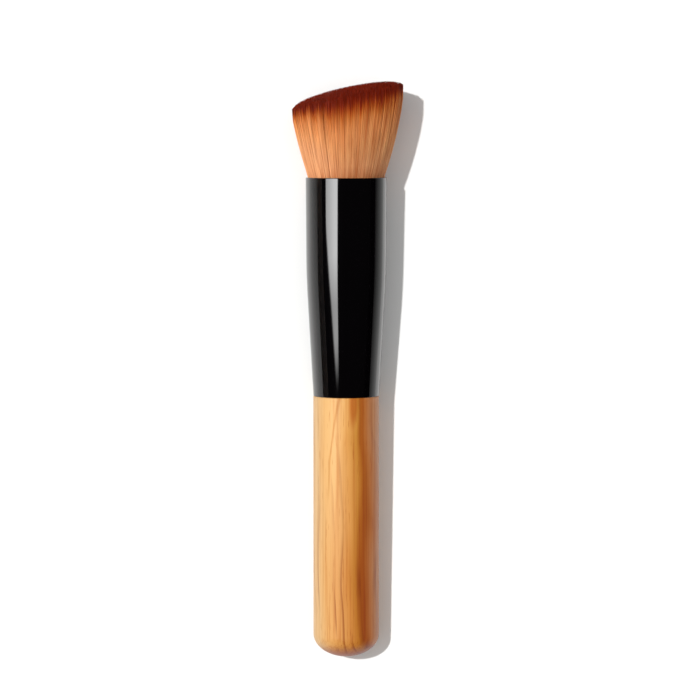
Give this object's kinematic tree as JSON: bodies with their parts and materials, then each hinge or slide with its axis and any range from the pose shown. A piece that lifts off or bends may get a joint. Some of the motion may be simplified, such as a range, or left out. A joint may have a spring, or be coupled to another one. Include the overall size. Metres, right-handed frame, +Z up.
{
  "type": "foundation brush",
  "caption": "Short foundation brush: wooden stick handle with a domed butt, black bell ferrule and a dense, slanted, flaring head of pale fibres with dark tips.",
  "frame": {"origin": "under the middle of the brush's box, on the surface that it lies on", "axes": "+Y along the brush from the butt to the head, +X towards the long side of the slanted head, +Z up from the surface"},
  "size_m": [0.0304, 0.1554, 0.0306],
  "materials": {
    "oiled_wood": "satin",
    "black_gloss_lacquer": "gloss",
    "white_glue": "matte",
    "potting_resin": "gloss",
    "tie_cotton": "matte",
    "pale_fibre": "soft, with dark red-brown tips"
  },
  "bodies": {
    "root": {"handle": "oiled_wood", "ferrule": "black_gloss_lacquer", "tenon_adhesive": "white_glue", "root_potting": "potting_resin", "root_tie": "tie_cotton", "bristle_head": "pale_fibre"}
  },
  "joints": []
}
